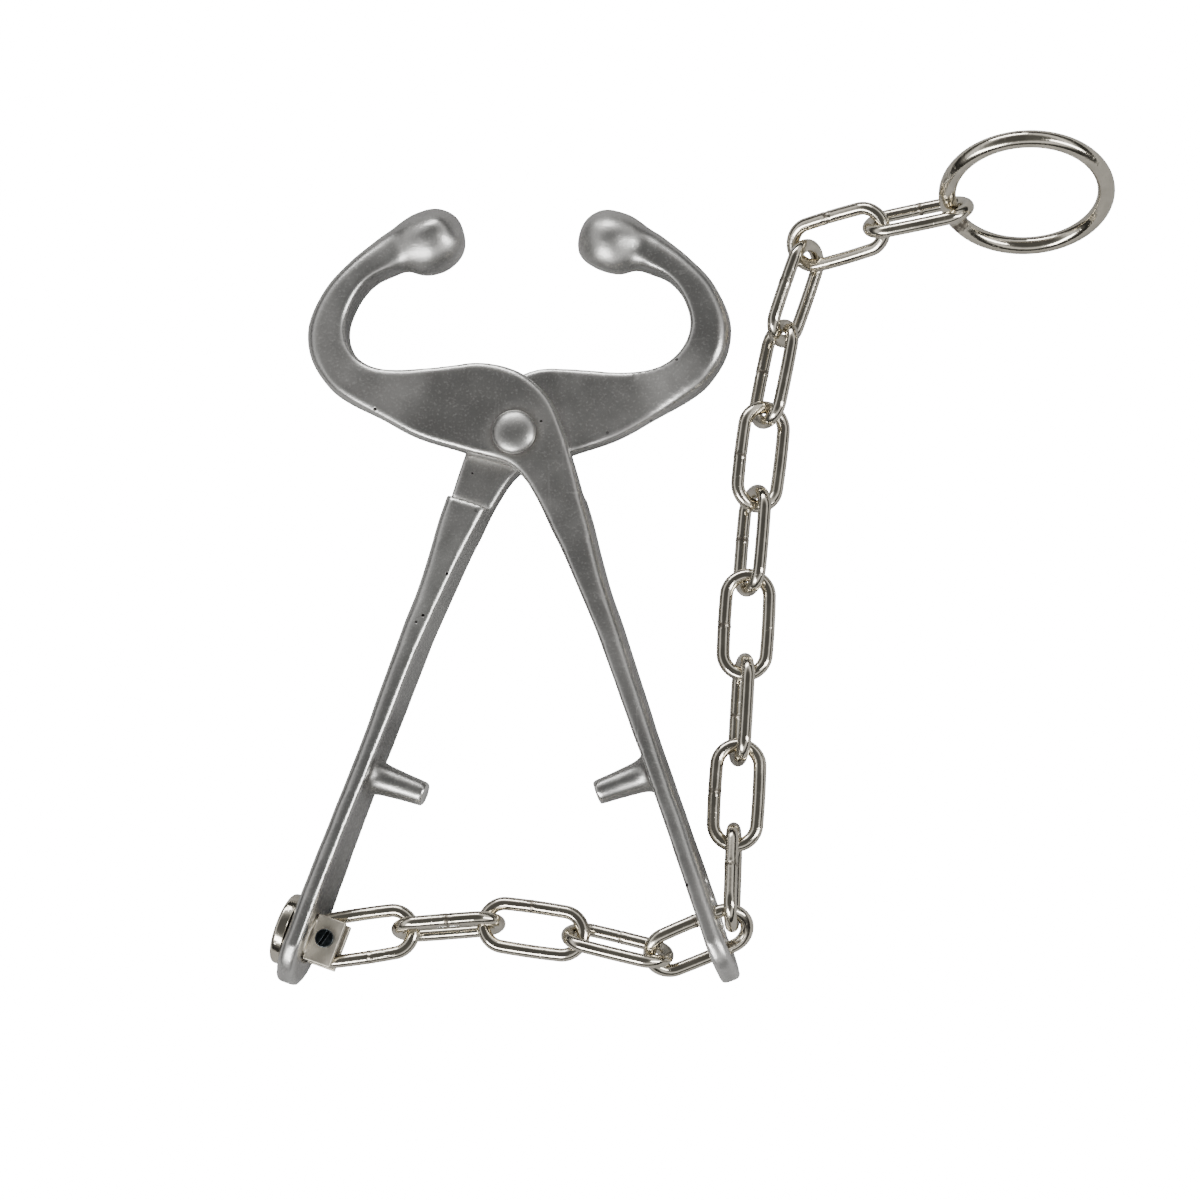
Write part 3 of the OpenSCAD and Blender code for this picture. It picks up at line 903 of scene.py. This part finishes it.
    # Flash and hammering: the surface is uneven at the weld
    lumps = node(g, "ShaderNodeTexNoise", noise_dimensions="4D")
    link(start["Seed"], lumps.inputs["W"])
    lumps.inputs["Scale"].default_value = 900.0
    lumps.inputs["Detail"].default_value = 1.0
    uneven = calc("MULTIPLY", calc("SUBTRACT", lumps.outputs["Fac"], 0.5), kept.outputs[1])
    uneven = calc("MULTIPLY", uneven, calc("MULTIPLY", start["Weld Size"], 3.2))
    push = node(g, "ShaderNodeVectorMath", operation="SCALE")
    link(node(g, "GeometryNodeInputNormal").outputs[0], push.inputs[0])
    link(uneven, push.inputs["Scale"])
    rough = node(g, "GeometryNodeSetPosition")
    link(tube.outputs[0], rough.inputs["Geometry"])
    link(push.outputs[0], rough.inputs["Offset"])
    mark = node(g, "GeometryNodeStoreNamedAttribute", data_type="FLOAT", domain="POINT")
    mark.inputs["Name"].default_value = "weld"
    link(rough.outputs[0], mark.inputs["Geometry"])
    link(kept.outputs[1], mark.inputs["Value"])
    put = node(g, "GeometryNodeTransform")
    link(mark.outputs[0], put.inputs["Geometry"])
    link(start["Place"], put.inputs["Translation"])
    link(start["Turn"], put.inputs["Rotation"])
    real = node(g, "GeometryNodeRealizeInstances")
    link(put.outputs[0], real.inputs[0])
    coat = node(g, "GeometryNodeSetMaterial")
    link(real.outputs[0], coat.inputs["Geometry"])
    link(start["Surface"], coat.inputs["Material"])
    link(coat.outputs[0], end["Geometry"])
    return g


def wire_loop(name, surface, **values):
    """A plain mesh of the welded wire loop with these inputs."""
    tree = wire_tree()
    o = mesh_object(name, bpy.data.meshes.new(name))
    m = o.modifiers.new("Loop", "NODES")
    m.node_group = tree
    ids = {s.name: s.identifier for s in tree.interface.items_tree if s.in_out == "INPUT"}
    for key, value in values.items():
        m[ids[key.replace("_", " ")]] = value
    m[ids["Surface"]] = surface
    o.update_tag()
    bpy.context.view_layer.update()
    applied(o)
    bm = bmesh.new()
    bm.from_mesh(o.data)
    bmesh.ops.recalc_face_normals(bm, faces=bm.faces)
    bm.to_mesh(o.data)
    bm.free()
    return o


def lie_of(name):
    """Middle and axes of a CAD node that is a flat loop: along it, across it and its normal."""
    co = np.array([v.co for v in frame["nodes"][name].data.vertices], float)
    points = np.unique(np.round(co, 7), axis=0)
    middle = points.mean(0)
    _, _, axes = np.linalg.svd(points - middle, full_matrices=False)
    along, across = Vector(axes[0]), Vector(axes[1])
    spread = (points - middle) @ axes.T
    middle = middle + axes.T @ ((spread.max(0) + spread.min(0)) / 2)
    return Vector(middle), along, across, spread.max(0) - spread.min(0)


# For each link from the swivel on: which long side its weld is on (up is the
# higher side), and how far along it from the middle, as an angle in degrees
WELDS = [(-1, 4), (1, -3), (1, 5), (1, 3), (1, -6), (-1, 2), (1, -2), (1, 4), (1, 3), (1, -4),
         (1, 3), (1, -3), (1, -6), (1, 5), (1, -2)]
LINK_WELD_LENGTH = 1.1 * MM
# The ring's weld: its bearing from the ring's X, how proud it stands and how long it is
RING_WELD_AT = math.radians(203)
RING_WELD, RING_WELD_LENGTH = 0.28 * MM, 2.4 * MM
# The way that the ring's X points, as near as its own plane lets it
RING_X = Vector((1, 0.1, 0))


class NOSELEAD_OT_chain(bpy.types.Operator):
    """Weld the chain's links, each in the place where it lies"""
    bl_idname = "nose_lead.chain"
    bl_label = "Chain"

    def execute(self, context):
        chain = context.scene.nose_lead_chain
        plate = material("Nickel plate", nickel_plate, context.scene.nose_lead_finish)
        before = SWIVEL_HOLE
        for seed, (name, (side, lean)) in enumerate(zip(LINKS, WELDS, strict=True), 1):
            middle, along, across, size = lie_of(name)
            if along.dot(middle - before) < 0:
                along = -along
            before = middle
            normal = along.cross(across)
            if normal.z < 0:
                across, normal = -across, -normal
            turn = Matrix((along, across, normal)).transposed().to_euler()
            o = wire_loop(
                name.replace("chain", "Chain"), plate,
                Length=size[0] - chain.wire, Width=size[1] - chain.wire, Wire=chain.wire,
                Bow=chain.bow, Weld_At=math.radians(90 * side + lean), Weld_Size=chain.weld,
                Weld_Length=LINK_WELD_LENGTH, Seed=float(seed), Place=middle, Turn=turn)
            finished(o, plate, name, name)
        return {"FINISHED"}


class NOSELEAD_OT_ring(bpy.types.Operator):
    """Close the lead ring round the last link"""
    bl_idname = "nose_lead.ring"
    bl_label = "Lead ring"

    def execute(self, context):
        chain = context.scene.nose_lead_chain
        plate = material("Nickel plate", nickel_plate, context.scene.nose_lead_finish)
        middle, along, across, size = lie_of("lead_ring")
        normal = along.cross(across)
        if normal.z < 0:
            normal = -normal
        along = (RING_X - normal * normal.dot(RING_X)).normalized()
        across = normal.cross(along)
        turn = Matrix((along, across, normal)).transposed().to_euler()
        o = wire_loop(
            "Lead_ring", plate, Length=size[0] - chain.ring_wire, Width=size[0] - chain.ring_wire,
            Wire=chain.ring_wire, Weld_At=RING_WELD_AT, Weld_Size=RING_WELD,
            Weld_Length=RING_WELD_LENGTH, Seed=40.0, Segments=240, Sides=28,
            Place=middle, Turn=turn)
        finished(o, plate, "lead_ring", "lead_ring")
        return {"FINISHED"}


# ---------------------------------------------------------------- stage
# The middle of the view, in millimetres
VIEW_MIDDLE = (-23.8, -9.1, 19.25)
# The floor is grey to the metal, and glows near white only to the camera's own rays
FLOOR_GREY, FLOOR_GLOW = 0.36, 16.0
FLOOR_HALF, FLOOR_BELOW = 3, 0.0002
# The room: grey at the ends of the height ramp, brightness at heights between them,
# and the near white that only the camera's own rays see
ROOM_LOW, ROOM_HIGH = (0.03, 0.03, 0.03, 1), (0.06, 0.06, 0.058, 1)
ROOM_BANDS = ((0.2, 0.015), (0.36, 0.07), (0.5, 0.5), (0.64, 0.5), (0.78, 0.13), (0.9, 0.05))
ROOM_SEEN = (5, 5, 5, 1)
ROOM_STRENGTH = 2.0
# Name, width and height in metres, power in watts and place of each soft light
LIGHTS = (
    ("Key", (0.9, 0.35), 16, (-0.55, -0.95, 0.9)),
    ("Fill", (0.35, 0.9), 13, (1.1, -0.25, 0.85)),
    ("Back", (0.9, 0.3), 9, (-0.3, 1.15, 0.7)),
)


def soft_light(name, size, power, place):
    """An area light that faces the origin."""
    data = bpy.data.lights.new(name, "AREA")
    data.shape, data.size, data.size_y = "RECTANGLE", size[0], size[1]
    data.energy = power
    o = bpy.data.objects.new(name, data)
    bpy.context.scene.collection.objects.link(o)
    aim = (-Vector(place)).to_track_quat("-Z", "Y").to_matrix().to_4x4()
    o.matrix_world = Matrix.Translation(place) @ aim


def camera_ray(tree):
    return node(tree, "ShaderNodeLightPath").outputs["Is Camera Ray"]


def set_floor():
    bm = bmesh.new()
    bmesh.ops.create_grid(bm, x_segments=1, y_segments=1, size=FLOOR_HALF)
    floor = from_bmesh("Floor", bm)
    floor.location.z = CAD_BOX[0].z - FLOOR_BELOW
    m, tree, shader = new_material("Pale floor", 0.0)
    shader.inputs["Base Color"].default_value = (FLOOR_GREY, FLOOR_GREY, FLOOR_GREY, 1)
    shader.inputs["Roughness"].default_value = 0.9
    shader.inputs["Emission Color"].default_value = (1, 1, 1, 1)
    glow = times(tree, camera_ray(tree), FLOOR_GLOW)
    tree.links.new(glow, shader.inputs["Emission Strength"])
    floor.data.materials.append(m)


def set_room(scene):
    world = bpy.data.worlds.new("Studio")
    scene.world = world
    world.use_nodes = True
    tree = world.node_tree
    back = tree.nodes["Background"]
    height = node(tree, "ShaderNodeSeparateXYZ")
    tree.links.new(node(tree, "ShaderNodeTexCoord").outputs["Generated"], height.inputs[0])
    bands = node(tree, "ShaderNodeValToRGB")
    tree.links.new(height.outputs["Z"], bands.inputs[0])
    stops = bands.color_ramp.elements
    stops[0].position, stops[0].color = 0.0, ROOM_LOW
    stops[1].position, stops[1].color = 1.0, ROOM_HIGH
    for place, level in ROOM_BANDS:
        stops.new(place).color = (level, level, level, 1)
    seen = mix(tree, camera_ray(tree), bands.outputs[0], ROOM_SEEN)
    tree.links.new(seen, back.inputs["Color"])
    back.inputs["Strength"].default_value = ROOM_STRENGTH


def set_camera(scene, stage):
    azimuth, elevation = stage.azimuth, stage.elevation
    to_camera = Vector((math.sin(azimuth) * math.cos(elevation),
                        -math.cos(azimuth) * math.cos(elevation), math.sin(elevation)))
    data = bpy.data.cameras.new("Camera")
    data.sensor_width = 36
    data.lens = data.sensor_width * stage.distance / stage.width
    camera = bpy.data.objects.new("Camera", data)
    scene.collection.objects.link(camera)
    # The view's upright follows the jaws' heading, turned by the roll
    up = Vector((0, 1, 0)) - to_camera * to_camera.y
    up.normalize()
    right = up.cross(to_camera)
    turn = Matrix((right, up, to_camera)).transposed().to_4x4()
    place = Vector(VIEW_MIDDLE) * MM + to_camera * stage.distance
    camera.matrix_world = Matrix.Translation(place) @ turn @ Matrix.Rotation(stage.roll, 4, "Z")
    scene.camera = camera


class NOSELEAD_OT_stage(bpy.types.Operator):
    """Set the pale floor, the soft studio light and the camera"""
    bl_idname = "nose_lead.stage"
    bl_label = "Stage"

    def execute(self, context):
        set_floor()
        set_room(context.scene)
        for light in LIGHTS:
            soft_light(*light)
        set_camera(context.scene, context.scene.nose_lead_stage)
        return {"FINISHED"}


# ---------------------------------------------------------------- panel
OPERATORS = (NOSELEAD_OT_levers, NOSELEAD_OT_rivet, NOSELEAD_OT_swivel, NOSELEAD_OT_chain,
             NOSELEAD_OT_ring, NOSELEAD_OT_stage)
SETTINGS = (("nose_lead_levers", LeverSettings), ("nose_lead_chain", ChainSettings),
            ("nose_lead_finish", FinishSettings), ("nose_lead_stage", StageSettings))


class NOSELEAD_PT_panel(bpy.types.Panel):
    """Sizes, colours and steps of the nose lead"""
    bl_idname = "NOSELEAD_PT_panel"
    bl_label = "Nose lead"
    bl_space_type = "VIEW_3D"
    bl_region_type = "UI"
    bl_category = "Nose Lead"

    def draw(self, context):
        for key, group in SETTINGS:
            column = self.layout.column(align=True)
            for name in group.__annotations__:
                column.prop(getattr(context.scene, key), name)
        column = self.layout.column(align=True)
        for operator in OPERATORS:
            column.operator(operator.bl_idname)


def register():
    for key, group in SETTINGS:
        bpy.utils.register_class(group)
        setattr(bpy.types.Scene, key, PointerProperty(type=group))
    for kind in (*OPERATORS, NOSELEAD_PT_panel):
        bpy.utils.register_class(kind)


def unregister():
    for kind in reversed((*OPERATORS, NOSELEAD_PT_panel)):
        bpy.utils.unregister_class(kind)
    for key, group in reversed(SETTINGS):
        delattr(bpy.types.Scene, key)
        bpy.utils.unregister_class(group)


def main():
    register()
    for step in ("levers", "rivet", "swivel", "chain", "ring", "stage"):
        getattr(bpy.ops.nose_lead, step)()


if __name__ == "__main__":
    main()
